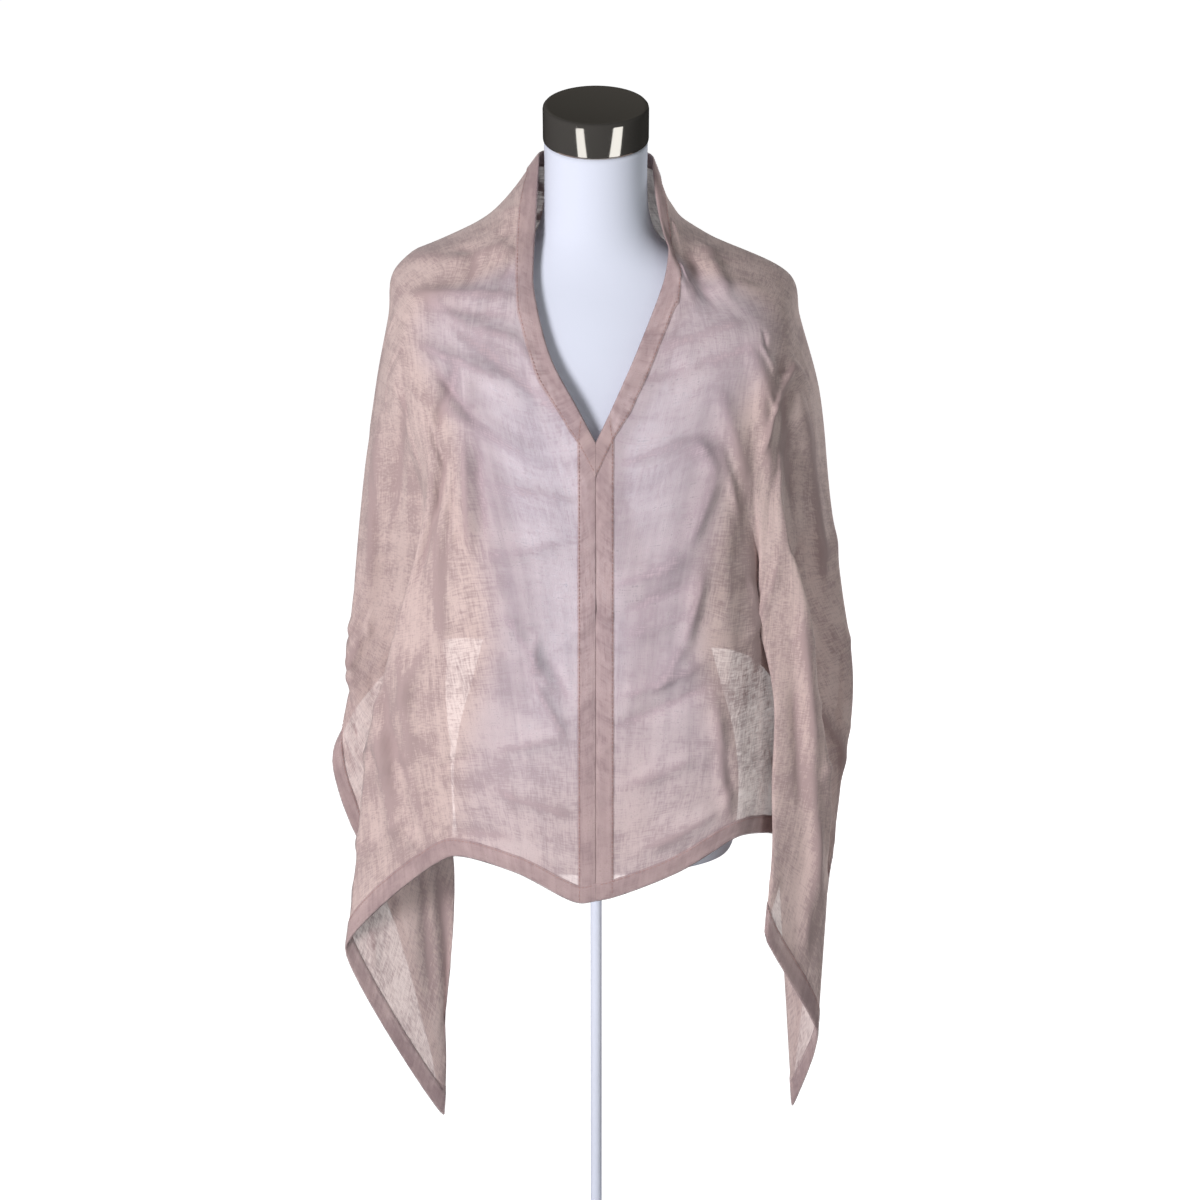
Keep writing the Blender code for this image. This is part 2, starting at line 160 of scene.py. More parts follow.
CAP_PROFILE = (
    # radius, height over the neck's top face
    (0, 0), (49.0, 0), (51.2, 0.5), (52.3, 1.6), (52.5, 3.2), (52.5, 33.1), (52.1, 35.1),
    (50.9, 36.5), (49.4, 37.1), (47.8, 37.2), (46.4, 36.8), (0, 36.8),
)
POLE_PROFILE = (
    # radius, height over the floor
    (0, 12.6), (5.4, 12.6), (6.0, 13.4), (6.0, 488.6), (5.4, 489.4), (0, 489.4),
)
BASE_PROFILE = (
    # radius, height over the floor
    (0, 0), (146.4, 0), (148.6, 0.6), (149.7, 2.2), (150, 4.4), (149.6, 6.8), (148.2, 8.6),
    (145.4, 9.6), (96, 10.6), (40, 11.4), (18, 11.8), (9, 12.0), (0, 12.0),
)

# Creases placed one by one: a soft ridge, or a trough where the rise is less than 0, from one place
# to another as seen from the front. The second table lies on the cloth behind the form.
FRONT_CREASES = (
    # reach, height, to reach, to height, rise, half breadth
    (-186, 1083, -77, 1086, 3.2, 7), (-170, 1074, -80, 1066, -1.8, 6),
    (-168, 1083, -118, 1052, 2.6, 7), (-118, 1054, -77, 1044, 2.6, 7),
    (-77, 1047, -36, 972, 2.4, 7), (-151, 1067, -19, 962, -2.2, 9),
    (-178, 1039, -91, 1006, 2.8, 8), (-171, 990, -60, 930, 2.2, 10),
    (-120, 1120, -84, 1132, 1.8, 7), (-190, 1113, -118, 1118, 2.0, 8),
    (-76, 1166, -94, 1156, 1.4, 5), (-78, 1146, -96, 1136, -1.2, 5), (-78, 1128, -98, 1118, 1.4, 5),
    (-78, 1108, -100, 1100, -1.2, 5),
    (-129, 952, -124, 833, 3.8, 7), (-116, 945, -110, 850, -2.6, 7),
    (108, 1128, 132, 1079, 2.6, 6), (92, 1125, 114, 1076, -2.2, 6), (78, 1118, 100, 1078, 2.2, 6),
    (23, 999, 95, 1018, -2.8, 9), (90, 1018, 163, 1041, -2.8, 9), (60, 1034, 150, 1062, 2.8, 9),
    (150, 1040, 176, 980, 2.4, 9), (120, 1000, 150, 900, 2.6, 10),
    (23, 926, 98, 952, 2.6, 7), (98, 952, 117, 913, 2.6, 7), (117, 913, 92, 848, 2.6, 7),
    (17, 693, 109, 731, 3.4, 7), (17, 665, 116, 706, -2.8, 7), (105, 820, 86, 745, 3.4, 7),
    (86, 747, 58, 703, 2.8, 7), (11, 804, 89, 837, 2.8, 8), (20, 780, 100, 812, -2.4, 8),
    (24, 754, 102, 785, 2.0, 9), (44, 537, 124, 574, 2.4, 9), (17, 600, 103, 634, 2.0, 9),
    (-87, 778, -42, 703, 3.4, 6), (-58, 761, -62, 714, 2.8, 6), (-62, 714, -29, 652, 3.4, 6),
    (-48, 740, -26, 690, -2.4, 7), (-114, 833, -30, 853, 2.2, 9), (-123, 911, -21, 891, 1.8, 10),
    (-100, 640, -30, 655, 2.2, 8), (-104, 600, -20, 572, 2.2, 9), (-96, 530, -24, 508, 1.8, 9),
    (-2, 905, -18, 903, 1.2, 5), (-2, 845, -18, 848, 1.2, 5), (-2, 800, -18, 796, -1.2, 5),
    (-2, 768, -18, 764, 1.6, 5), (-2, 740, -18, 742, -1.4, 5), (-2, 700, -20, 690, 1.8, 5),
    (-2, 655, -18, 660, -1.2, 5), (-2, 620, -18, 612, 1.4, 5), (-2, 560, -18, 566, 1.2, 5),
    (2, 870, 18, 872, 1.2, 5), (2, 776, 18, 782, 1.6, 5), (2, 720, 18, 712, -1.4, 5),
    (2, 640, 18, 646, 1.4, 5), (2, 585, 18, 580, -1.2, 5),
    (-222, 655, -201, 516, 3.2, 7), (-197, 739, -184, 612, 3.4, 8), (-214, 700, -205, 560, -2.8, 7),
    (-189, 544, -170, 501, 4.0, 6), (-200, 640, -150, 480, 2.6, 8), (-215, 960, -235, 760, 3.4, 9),
    (-190, 1000, -205, 850, -2.8, 8), (-160, 900, -150, 720, 2.6, 9),
    (-182, 470, -176, 300, 2.6, 7),
    (205, 980, 235, 770, 3.4, 9), (185, 1010, 200, 860, -2.8, 8), (160, 1010, 172, 900, 2.6, 8),
    (205, 777, 223, 609, 3.4, 7), (200, 700, 212, 560, -2.8, 7), (215, 640, 232, 430, 3.2, 7),
    (150, 860, 160, 700, 2.6, 9), (228, 560, 214, 380, 2.6, 7), (118, 690, 134, 560, 3.0, 7),
)
BACK_CREASES = (
    # reach, height, to reach, to height, rise, half breadth
    (-150, 1090, -60, 1070, 2.6, 8), (-60, 1075, 40, 1062, -2.2, 9), (20, 1070, 150, 1098, 2.6, 8),
    (-120, 1020, -20, 960, 2.4, 9), (120, 1010, 10, 950, 2.4, 9), (-140, 930, -110, 800, 3.2, 8),
    (-70, 900, -60, 720, 2.6, 9), (0, 960, 10, 760, -2.4, 10), (70, 900, 60, 700, 2.6, 9),
    (140, 930, 120, 780, 3.2, 8), (-30, 850, 60, 820, 2.4, 8), (-100, 780, -20, 740, 2.4, 8),
    (30, 760, 110, 730, 2.4, 8), (-30, 1150, -20, 1090, 1.6, 7), (25, 1150, 20, 1085, 1.6, 7),
)
CRUMPLES = (
    # how many, shortest, longest, spread of the rise, least and most half breadth
    (300, 22, 90, 0.9, 4, 8),
    (110, 60, 170, 1.7, 8, 16),
)
CRUMPLE_SEED = 11
COLUMNS = 470                # grid lines of the sheet across the fold lines
ROWS = 178                   # grid lines of the sheet down the fold lines

# How loosely the cloth hangs rises from 0 to its share over each of these spans, in metres. The
# same share carries the gauze from its painted light colour over the form to its painted shade
# colour where it hangs.
BESIDE_SPAN = (-0.035, 0.008)        # past the form's half width at that height
ABOVE_SPAN, ABOVE_SHARE = (0.93, 1.09), 0.35       # height, over the bust
BELOW_SPAN, BELOW_SHARE = (-0.78, -0.52), 0.68     # height turned downwards, to the lower edge
FRONT_REACH, FRONT_BLEND = 0.6, 0.4  # fold places past an outer fold where the front gives way
CALM_LEAST, CALM_SPAN = 0.4, 0.03    # share of the crease depth at a hem, and where it is whole

HEM_SHARES = (1.0, 0.985, 0.75, 0.5, 0.25, 0.06)   # lines of a hem's face, shares of its width
HEM_CORNER = 0.4             # share of the lift at the hem's inner corner
CENTRE_LIFT = 0.7            # share of the lift on the two hems of the centre seam
LEAD_ROWS = 4                # rows from the edge that show which way the grid leaves it
STITCH_PLACE = 0.9           # share of the hem's width from the edge to its stitches
STITCH_SIDES = 6
STITCH_RADIUS = 0.28 * MM
STITCH_FLATTEN = 0.8         # height of a stitch, as a share of its breadth
STITCH_SHIFT = 1.4           # radii from a stitch's end to its full breadth
STITCH_RINGS = ((0, 0.35, -0.1), (0, 1.0, 0.25), (1, 1.0, 0.25), (1, 0.35, -0.1))
#                end, share of the radius, rise in radii

FORM_SIDES, FORM_LEVELS = 120, 150
FORM_FOOT_SHARES = (0.0, 0.55, 0.9)  # rings that close the form below, shares of its lowest ring
FORM_TOP_SHARES = (0.93, 0.5, 0.0)   # rings that close the neck
POLE_SIDES = 48
CAP_GAP = 0.3 * MM           # between the neck's top and the cap

# Weave of the gauze, its features a metre along and down the flat cloth.
WEFT, WARP = (80.0, 680.0, 1.0), (680.0, 80.0, 1.0)
STREAK, CLOUD = (7.0, 120.0, 1.0), (20.0, 14.0, 1.0)
CRINKLES = ((150.0, 36.0, 1.0), (34.0, 130.0, 1.0))
THREAD_PITCH = 1.1 * MM
# The darkest threads' colour also serves as the painted shade in creases.
DARK_SHARE = 0.58            # brightness of the darkest threads, as a share of the colour
FLOOR_HALF = 60.0            # metres from the middle of the floor to its sides
CAMERA_SHIFT = 0.0041        # metres that the camera stands to the right
SENSOR_WIDTH = 36.0          # millimetres


def metres(name, description, default):
    """A length in metres."""
    return FloatProperty(name=name, description=description, default=default, unit="LENGTH")


def fraction(name, description, default):
    """A share from 0 to 1."""
    return FloatProperty(name=name, description=description, default=default, min=0.0, max=1.0)


def tint(name, description, default):
    """A colour."""
    return FloatVectorProperty(name=name, description=description, default=default,
                               subtype="COLOR", size=3)


class ClothSettings(bpy.types.PropertyGroup):
    """Sizes and colours of the poncho."""
    length: metres("Cloth length", "Long edge of the flat cloth", 1.73)
    width: metres("Cloth width", "Short edge of the flat cloth", 0.63)
    hem_width: metres("Hem width", "Breadth of the folded hem", 0.018)
    hem_lift: metres("Hem lift", "How far a hem's faces stand off the cloth", 0.0010)
    stitch_length: metres("Stitch length", "Length of one stitch", 0.0028)
    stitch_pitch: metres("Stitch pitch", "From one stitch to the next", 0.0040)
    crease_share: FloatProperty(name="Crease depth", description="Share of the tabled crease depth",
                                default=1.9, min=0.0, max=2.5)
    # Gauze is painted light: the threads brightened and cooled as if lit from the white form
    # behind. Loose gauze is the painted shade copy of the same threads where they hang.
    gauze: tint("Gauze", "Thread colour where it lies on the form", (0.900, 0.748, 0.775))
    gauze_loose_shaded: tint("Loose gauze", "Thread colour where it hangs", (0.690, 0.540, 0.500))
    gauze_cover: fraction("Cover", "Share of the light stopped on the form", 0.54)
    loose_cover: fraction("Loose cover", "Share stopped where it hangs", 0.88)
    hem: tint("Hem", "Thread colour of the folded hems", (0.660, 0.500, 0.485))
    hem_cover: fraction("Hem cover", "Share stopped by one face of a hem", 0.62)
    stitch: tint("Stitching", "Colour of the sewing thread", (0.260, 0.145, 0.130))


class StandSettings(bpy.types.PropertyGroup):
    """Colours of the dress form and its stand."""
    shell: tint("Form", "Colour of the dress form's shell", (0.690, 0.730, 0.830))
    metal: tint("Neck cap", "Colour of the polished neck cap", (0.560, 0.530, 0.480))
    sides: IntProperty(name="Sides", description="Sides of the turned pieces", default=96, min=12)


class StageSettings(bpy.types.PropertyGroup):
    """The camera, the lights and the floor."""
    distance: metres("Camera distance", "From the camera to the middle", 3.0)
    middle: metres("Middle height", "Height that the camera looks at", 0.76)
    tilt: FloatProperty(name="Camera tilt", description="How far the camera looks down",
                        default=math.radians(14), subtype="ANGLE")
    lens: FloatProperty(name="Lens", description="Focal length on a 36 mm sensor", default=87.39)
    floor: tint("Floor", "Colour of the floor", (0.50, 0.50, 0.50))
    floor_glow: FloatProperty(name="Floor glow", description="Light of the lit floor itself",
                              default=0.92, min=0.0)
    sky: FloatProperty(name="Room light", description="Strength of the even light of the room",
                       default=0.24, min=0.0)


def through(rows, places, roundness):
    """A smooth cubic through the rows, read at each place: 0 is the first row, 1 the second.

    Between two rows it is the Hermite cubic of their values and slopes. A row's slope is the mean
    of the slopes to its neighbours, each weighted by the other's gap, times the row's roundness.
    """
    gap = np.sqrt(np.linalg.norm(np.diff(rows, axis=0), axis=-1, keepdims=True)) + 1e-6
    slope = np.diff(rows, axis=0) / gap
    tangent = np.empty_like(rows)
    tangent[0] = slope[0]
    tangent[-1] = slope[-1]
    tangent[1:-1] = (slope[:-1] * gap[1:] + slope[1:] * gap[:-1]) / (gap[1:] + gap[:-1])
    spread = (-1,) + (1,) * (rows.ndim - 1)
    tangent = tangent * np.asarray(roundness).reshape(spread)
    first = np.clip(np.floor(places).astype(int), 0, len(rows) - 2)
    part = (places - first).reshape(spread)
    square = part * part
    cube = square * part
    return ((2 * cube - 3 * square + 1) * rows[first]
            + (cube - 2 * square + part) * tangent[first] * gap[first]
            + (3 * square - 2 * cube) * rows[first + 1]
            + (cube - square) * tangent[first + 1] * gap[first])


def lengths(points, axis):
    """Running length along an axis of a grid of points, from its start."""
    step = np.linalg.norm(np.diff(points, axis=axis), axis=-1)
    start = np.zeros_like(np.take(step, [0], axis=axis))
    return np.concatenate((start, np.cumsum(step, axis=axis)), axis=axis)


def unit(vectors):
    """Vectors scaled to a length of one."""
    return vectors / np.maximum(np.linalg.norm(vectors, axis=-1, keepdims=True), 1e-9)


def cloth_lines(columns, rows):
    """The smooth sheet: a grid of points, even across and down, and each column's fold place.

    Every level of the fold tables is drawn down the cloth first, then the sheet across them.
    """
    left = np.array(LEFT_LEVELS) * (-MM, MM, MM)
    right = np.array(RIGHT_LEVELS)[:, ::-1] * (MM, MM, MM)
    table = np.concatenate((left, right), axis=1)
    table[:, 0, 0] = -CENTRE_GAP / 2
    table[:, -1, 0] = CENTRE_GAP / 2
    down = np.linspace(0.0, len(table) - 1.0, rows)
    lines = through(table, down, np.ones(len(table))).transpose(1, 0, 2)
    rough = np.linspace(0.0, len(FOLDS) - 1.0, 2001)
    run = lengths(through(lines, rough, ROUND)[:, ::8], 0).mean(axis=1)
    across = np.interp(np.linspace(0.0, run[-1], columns), run, rough)
    back = FOLDS.index("left back")
    across[np.argmin(abs(across - back))] = back
    return through(lines, across, ROUND), across


def flat_half(points, tip, half_length, width):
    """Places on the flat cloth for one half, from its centre front to its centre back.

    The four sides of the half are laid on the rectangle by their running lengths: the neck edge and
    the centre front on the long edge, the front hem on the short end and round the tip, at the
    column given, the lower edge. The inside is filled between opposite sides, less the corners.
    """
    seam = lengths(points[0], 0)
    back = lengths(points[-1], 0)
    neck = lengths(points[:, 0], 0)
    front = lengths(points[:tip + 1, -1], 0)
    low = lengths(points[tip:, -1], 0)
    first = half_length - neck[-1] * half_length / (neck[-1] + seam[-1])
    top = np.stack(((half_length - first) * (1 - neck / neck[-1]), np.zeros(len(points))), axis=-1)
    bottom = np.concatenate((
        np.stack((np.full(tip, half_length), front[:-1] / front[-1] * width), axis=-1),
        np.stack((half_length * (1 - low / low[-1]), np.full(len(low), width)), axis=-1)))
    centre = np.stack((half_length - first + seam / seam[-1] * first, np.zeros(len(seam))), axis=-1)
    spine = np.stack((np.zeros(len(back)), back / back[-1] * width), axis=-1)
    t = np.linspace(0.0, 1.0, points.shape[1])[None, :, None]
    run = lengths(points, 0)
    s = (run / run[-1]).mean(axis=1)[:, None, None]
    corners = ((1 - s) * (1 - t) * top[0] + s * (1 - t) * top[-1]
               + (1 - s) * t * bottom[0] + s * t * bottom[-1])
    return ((1 - t) * top[:, None] + t * bottom[:, None]
            + (1 - s) * centre[None] + s * spine[None] - corners)


def flat_places(points, across, length, width):
    """Places on the flat cloth for the sheet: metres along from the centre back, and down."""
    back = int(np.argmin(abs(across - FOLDS.index("left back"))))
    left_tip = int(np.argmin(abs(across - FOLDS.index("left tuck"))))
    right_tip = int(np.argmin(abs(across - FOLDS.index("right tuck"))))
    left = flat_half(points[:back + 1], left_tip, length / 2, width)
    right = flat_half(points[back:][::-1], len(across) - 1 - right_tip, length / 2, width)
    left[..., 0] *= -1
    return np.concatenate((left[:-1], right[::-1]))


def crease_height(places, creases):
    """Height of the creases at each place, and a mask of painted shade along them.

    A crease is a bell across its line and fades towards both ends. The shade mask is a bell of half
    its breadth, stronger for a deeper crease; it also raises the cover of the gauze.
    """
    height = np.zeros(places.shape[:2])
    press_and_shade = np.zeros(places.shape[:2])
    for x0, y0, x1, y1, rise, breadth in creases:
        start = np.array((x0, y0)) * MM
        lead = np.array((x1, y1)) * MM - start
        reach = np.linalg.norm(lead)
        lead /= reach
        offset = places - start
        along = offset @ lead / reach
        side = offset @ np.array((-lead[1], lead[0])) / (breadth * MM)
        near = (abs(side) < 4) & (along > -0.3) & (along < 1.3)
        fade = np.exp(-np.clip(abs(along[near] - 0.5) - 0.25, 0, None) ** 2 / 0.04)
        height[near] += rise * MM * np.exp(-side[near] ** 2) * fade
        press_and_shade[near] += min(abs(rise) / 3, 1.0) * np.exp(-(side[near] / 0.5) ** 2) * fade
    return height, press_and_shade


def crumple_rows(length, width):
    """Rows like the crease tables', for creases scattered on the flat cloth by a fixed seed."""
    random = np.random.default_rng(CRUMPLE_SEED)
    rows = []
    for count, shortest, longest, spread, least, most in CRUMPLES:
        along = random.uniform(-length / 2, length / 2, count) / MM
        down = random.uniform(0.0, width, count) / MM
        turn = random.choice((0.0, 90.0, 45.0, -45.0), count) + random.normal(0.0, 14.0, count)
        reach = random.uniform(shortest, longest, count)
        rise = random.normal(0.0, spread, count)
        breadth = random.uniform(least, most, count)
        rows.append(np.stack((along, down, along + reach * np.cos(np.radians(turn)),
                              down + reach * np.sin(np.radians(turn)), rise, breadth), axis=-1))
    return np.concatenate(rows)


def looseness_and_shade(points, front):
    """How loosely the cloth hangs at each place: 0 where it lies over the form's front, up to 1.

    It rises past the form's half width at that height, over the bust, and towards the lower edge.
    It also carries the painted light and shade of the gauze: bright where the cloth lies on the
    form, darker where it hangs and towards the lower edge.
    """
    def rise(value, low, high):
        part = np.clip((value - low) / (high - low), 0.0, 1.0)
        return part * part * (3 - 2 * part)
    rings = np.array(FORM_RINGS) * MM
    half = np.interp(points[..., 2], rings[:, 0], rings[:, 1])
    beside = rise(abs(points[..., 0]) - half, *BESIDE_SPAN)
    above = rise(points[..., 2], *ABOVE_SPAN) * ABOVE_SHARE
    below = rise(-points[..., 2], *BELOW_SPAN) * BELOW_SHARE
    return 1 - (1 - beside) * (1 - above) * (1 - below) * front[:, None]


class Cloth:
    """The creased sheet, worked out once: points, normals, flat places, the mask of painted shade
    in its creases, and how loosely it hangs, which also carries painted light and shade.
    """

    def __init__(self, settings):
        points, self.across = cloth_lines(COLUMNS, ROWS)
        self.flat = flat_places(points, self.across, settings.length, settings.width)
        normal = unit(np.cross(np.gradient(points, axis=0), np.gradient(points, axis=1)))
        left, right = FOLDS.index("left outer"), FOLDS.index("right outer")
        front = np.clip(np.maximum(left + FRONT_REACH - self.across,
                                   self.across - right + FRONT_REACH) / FRONT_BLEND, 0, 1)
        height, press_and_shade = crease_height(self.flat, crumple_rows(settings.length, settings.width))
        for creases, share in ((FRONT_CREASES, front), (BACK_CREASES, 1 - front)):
            more = crease_height(points[..., (0, 2)], creases)
            height += more[0] * share[:, None]
            press_and_shade += more[1] * share[:, None]
        run = lengths(points, 1)
        over = lengths(points, 0)
        inside = np.minimum(np.minimum(run, run[:, -1:] - run), np.minimum(over, over[-1:] - over))
        calm = np.clip((inside - settings.hem_width) / CALM_SPAN, 0.0, 1.0)
        calm = CALM_LEAST + (1 - CALM_LEAST) * calm
        self.points = points + normal * (height * settings.crease_share * calm)[..., None]
        self.points[0, :, 0] = points[0, :, 0]
        self.points[-1, :, 0] = points[-1, :, 0]
        self.normal = unit(np.cross(np.gradient(self.points, axis=0),
                                    np.gradient(self.points, axis=1)))
        # Under the hems the sheet takes the whole painted shade and cover of a crease.
        press_and_shade[inside < settings.hem_width] = 1.0
        self.press_and_shade = np.clip(press_and_shade, 0.0, 1.0)
        self.loose_and_shade = looseness_and_shade(points, front)

    def column(self, fold):
        """The grid column nearest to a fold line."""
        return int(np.argmin(abs(self.across - FOLDS.index(fold))))


def cloth_of(settings):
    """The sheet for these settings, kept for the operators that follow."""
    key = (settings.length, settings.width, settings.crease_share)
    if getattr(cloth_of, "key", None) != key:
        cloth_of.key = key
        cloth_of.sheet = Cloth(settings)
    return cloth_of.sheet


def grid_faces(columns, rows, closed=False):
    """Squares of a grid, its rows within its columns, and round its columns again if closed."""
    i, j = np.meshgrid(np.arange(columns if closed else columns - 1), np.arange(rows - 1),
                       indexing="ij")
    after = (i + 1) % columns
    return np.stack((i * rows + j, after * rows + j, after * rows + j + 1, i * rows + j + 1),
                    axis=-1).reshape(-1, 4)


def add_mesh(name, points, faces, material, slot, node=None, flat=None, values=()):
    """A smooth mesh piece from arrays, with the material, in place of a node of the part; the slot
    is not used.

    Flat places become its UV map, and each named value in values an attribute of its points.
    """
    mesh = bpy.data.meshes.new(name)
    mesh.vertices.add(len(points))
    mesh.vertices.foreach_set("co", np.asarray(points, dtype=np.float32).ravel())
    size = faces.shape[1]
    mesh.loops.add(faces.size)
    mesh.loops.foreach_set("vertex_index", faces.ravel().astype(np.int32))
    mesh.polygons.add(len(faces))
    mesh.polygons.foreach_set("loop_start", np.arange(0, faces.size, size, dtype=np.int32))
    mesh.polygons.foreach_set("loop_total", np.full(len(faces), size, dtype=np.int32))
    mesh.update(calc_edges=True)
    mesh.validate()
    if flat is not None:
        layer = mesh.uv_layers.new(name="UVMap")
        layer.data.foreach_set("uv", flat[faces.ravel()].astype(np.float32).ravel())
    for title, value in values:
        mesh.attributes.new(title, "FLOAT", "POINT").data.foreach_set(
            "value", value.astype(np.float32).ravel())
    mesh.shade_smooth()
    mesh.materials.append(material)
    piece = bpy.data.objects.new(name, mesh)
    bpy.context.collection.objects.link(piece)
    if node:
        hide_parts(node)
    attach(piece, "root")
    return piece


def new_material(name):
    """A material with its nodes, its links and its Principled shader."""
    material = bpy.data.materials.get(name)
    if material:
        bpy.data.materials.remove(material)
    material = bpy.data.materials.new(name)
    material.use_nodes = True
    tree = material.node_tree
    return material, tree, tree.nodes["Principled BSDF"]


def noise(tree, vector, scale, detail, roughness=0.5):
    """A noise texture's value on a vector stretched by a scale for each axis."""
    mapping = tree.nodes.new("ShaderNodeMapping")
    mapping.inputs["Scale"].default_value = scale
    tree.links.new(vector, mapping.inputs["Vector"])
    texture = tree.nodes.new("ShaderNodeTexNoise")
    texture.inputs["Scale"].default_value = 1.0
    texture.inputs["Detail"].default_value = detail
    texture.inputs["Roughness"].default_value = roughness
    tree.links.new(mapping.outputs["Vector"], texture.inputs["Vector"])
    return texture.outputs["Fac"]


def math_node(tree, operation, first, second, clamp=False):
    """A Math node on two values, each a socket or a number."""
    node = tree.nodes.new("ShaderNodeMath")
    node.operation = operation
    node.use_clamp = clamp
    for socket, value in zip(node.inputs, (first, second)):
        if isinstance(value, (int, float)):
            socket.default_value = value
        else:
            tree.links.new(value, socket)
    return node.outputs["Value"]


def threads(tree, vector, direction, pitch):
    """Rounded threads side by side along one axis of the flat cloth."""
    wave = tree.nodes.new("ShaderNodeTexWave")
    wave.wave_type = "BANDS"
    wave.bands_direction = direction
    wave.wave_profile = "SIN"
    wave.inputs["Scale"].default_value = 2 * math.pi / (20 * pitch)
    wave.inputs["Distortion"].default_value = 0.0
    tree.links.new(vector, wave.inputs["Vector"])
    return wave.outputs["Fac"]


def value_between(tree, low, high, share):
    """A value that goes from low to high as a socket's share goes from 0 to 1."""
    node = math_node(tree, "MULTIPLY_ADD", share, high - low).node
    node.inputs[2].default_value = low
    return node.outputs["Value"]


def colour_between(tree, low, high, share):
    """A colour that goes from low to high as a socket's share goes from 0 to 1."""
    mix = tree.nodes.new("ShaderNodeMix")
    mix.data_type = "RGBA"
    for socket, colour in zip((mix.inputs["A"], mix.inputs["B"]), (low, high)):
        if isinstance(colour, bpy.types.NodeSocket):
            tree.links.new(colour, socket)
        else:
            socket.default_value = (*colour, 1.0)
    tree.links.new(share, mix.inputs["Factor"])
    return mix.outputs["Result"]


def place_output(tree, name):
    """A Texture Coordinate node's output."""
    return tree.nodes.new("ShaderNodeTexCoord").outputs[name]


def attribute(tree, name):
    """The value of a mesh's attribute, which is 0 on a mesh without it."""
    node = tree.nodes.new("ShaderNodeAttribute")
    node.attribute_name = name
    return node.outputs["Fac"]


def bump(tree, height, strength, distance, normal=None):
    """A Bump node's normal, over another one's if given."""
    node = tree.nodes.new("ShaderNodeBump")
    node.inputs["Strength"].default_value = strength
    node.inputs["Distance"].default_value = distance
    tree.links.new(height, node.inputs["Height"])
    if normal:
        tree.links.new(normal, node.inputs["Normal"])
    return node.outputs["Normal"]


def set_shader(tree, shader, values):
    """Sets the shader's sockets by name, each to a constant or to another node's output."""
    for name, value in values.items():
        if isinstance(value, bpy.types.NodeSocket):
            tree.links.new(value, shader.inputs[name])
        else:
            shader.inputs[name].default_value = value


def darker(colour, share):
    """A colour dimmed by a share, a little more in its green."""
    return tuple(c * s for c, s in zip(colour, (share, share * 0.95, share)))


def gauze_material(name, colour, cover, shaded_loose_colour, loose_cover):
    """Open plain weave: slubs of thicker and thinner threads both ways, with gaps between them.

    The colour goes from a bright copy over the form, painted light as if from the white form behind
    it, to a darker copy where the cloth hangs, which is painted shade, and the cover rises with it.
    In a crease the colour darkens, which is painted shade, and the cover rises.
    """
    material, tree, shader = new_material(name)
    node = tree.nodes.new("ShaderNodeUVMap")
    node.uv_map = "UVMap"
    vector = node.outputs["UV"]
    weft = noise(tree, vector, WEFT, 2.0, 0.6)
    warp = noise(tree, vector, WARP, 2.0, 0.6)
    streak = noise(tree, vector, STREAK, 3.0, 0.6)
    cloud = noise(tree, vector, CLOUD, 4.0, 0.6)
    slub = math_node(tree, "MULTIPLY", math_node(tree, "ADD", weft, warp), 0.5)
    # Mask of painted light and shade: 0 where the cloth lies on the form, rising where it hangs.
    loose_and_shade = attribute(tree, "looseness_and_shade")
    # Painted shade along the creases and under the hems; it also raises the cover.
    press_and_shade = attribute(tree, "press_and_shade")

    # The threads' colour, with painted light over the form and painted shade where the cloth hangs.
    even = colour_between(tree, colour, shaded_loose_colour, loose_and_shade)
    dark_threads_and_shade = colour_between(tree, darker(colour, DARK_SHARE), darker(shaded_loose_colour, DARK_SHARE), loose_and_shade)
    patchy_and_crease_shade = math_node(tree, "ADD", value_between(tree, -1.05, 1.5, cloud),
                       value_between(tree, -0.5, 0.7, streak), clamp=True)
    patchy_and_crease_shade = math_node(tree, "ADD", patchy_and_crease_shade, value_between(tree, -2.1, 2.3, slub), clamp=True)
    # Painted shade: the threads darken in the creases.
    patchy_and_crease_shade = math_node(tree, "ADD", patchy_and_crease_shade, press_and_shade, clamp=True)

    gaps = math_node(tree, "MULTIPLY", value_between(tree, -0.6, 0.6, slub),
                     value_between(tree, 1.0, 0.5, loose_and_shade))
    stopped = math_node(tree, "ADD", value_between(tree, cover, loose_cover, loose_and_shade), gaps)
    stopped = math_node(tree, "ADD", stopped, value_between(tree, -0.12, 0.12, cloud))
    stopped = math_node(tree, "ADD", stopped, math_node(tree, "MULTIPLY", press_and_shade, 0.24), clamp=True)

    weave = math_node(tree, "ADD", threads(tree, vector, "X", THREAD_PITCH),
                      threads(tree, vector, "Y", THREAD_PITCH))
    relief = math_node(tree, "ADD", math_node(tree, "MULTIPLY", slub, 3.0), weave)
    crinkle = math_node(tree, "ADD", *(noise(tree, vector, scale, 2.0) for scale in CRINKLES))
    coarse = bump(tree, crinkle, 0.22, 1.0 * MM)
    set_shader(tree, shader, {
        "Base Color": colour_between(tree, even, dark_threads_and_shade, patchy_and_crease_shade), "Alpha": stopped,
        "Normal": bump(tree, relief, 0.4, 0.15 * MM, coarse), "Roughness": 0.9,
        "Specular IOR Level": 0.2, "Sheen Weight": 0.2, "Sheen Roughness": 0.5})
    return material


def thread_material(settings):
    """Twisted sewing thread."""
    material, tree, shader = new_material("sewing_thread")
    grain = noise(tree, place_output(tree, "Object"), (700.0, 700.0, 700.0), 2.0)
    light = tuple(c * 1.7 for c in settings.stitch)
    set_shader(tree, shader, {
        "Base Color": colour_between(tree, settings.stitch, light, grain), "Roughness": 0.8})
    return material


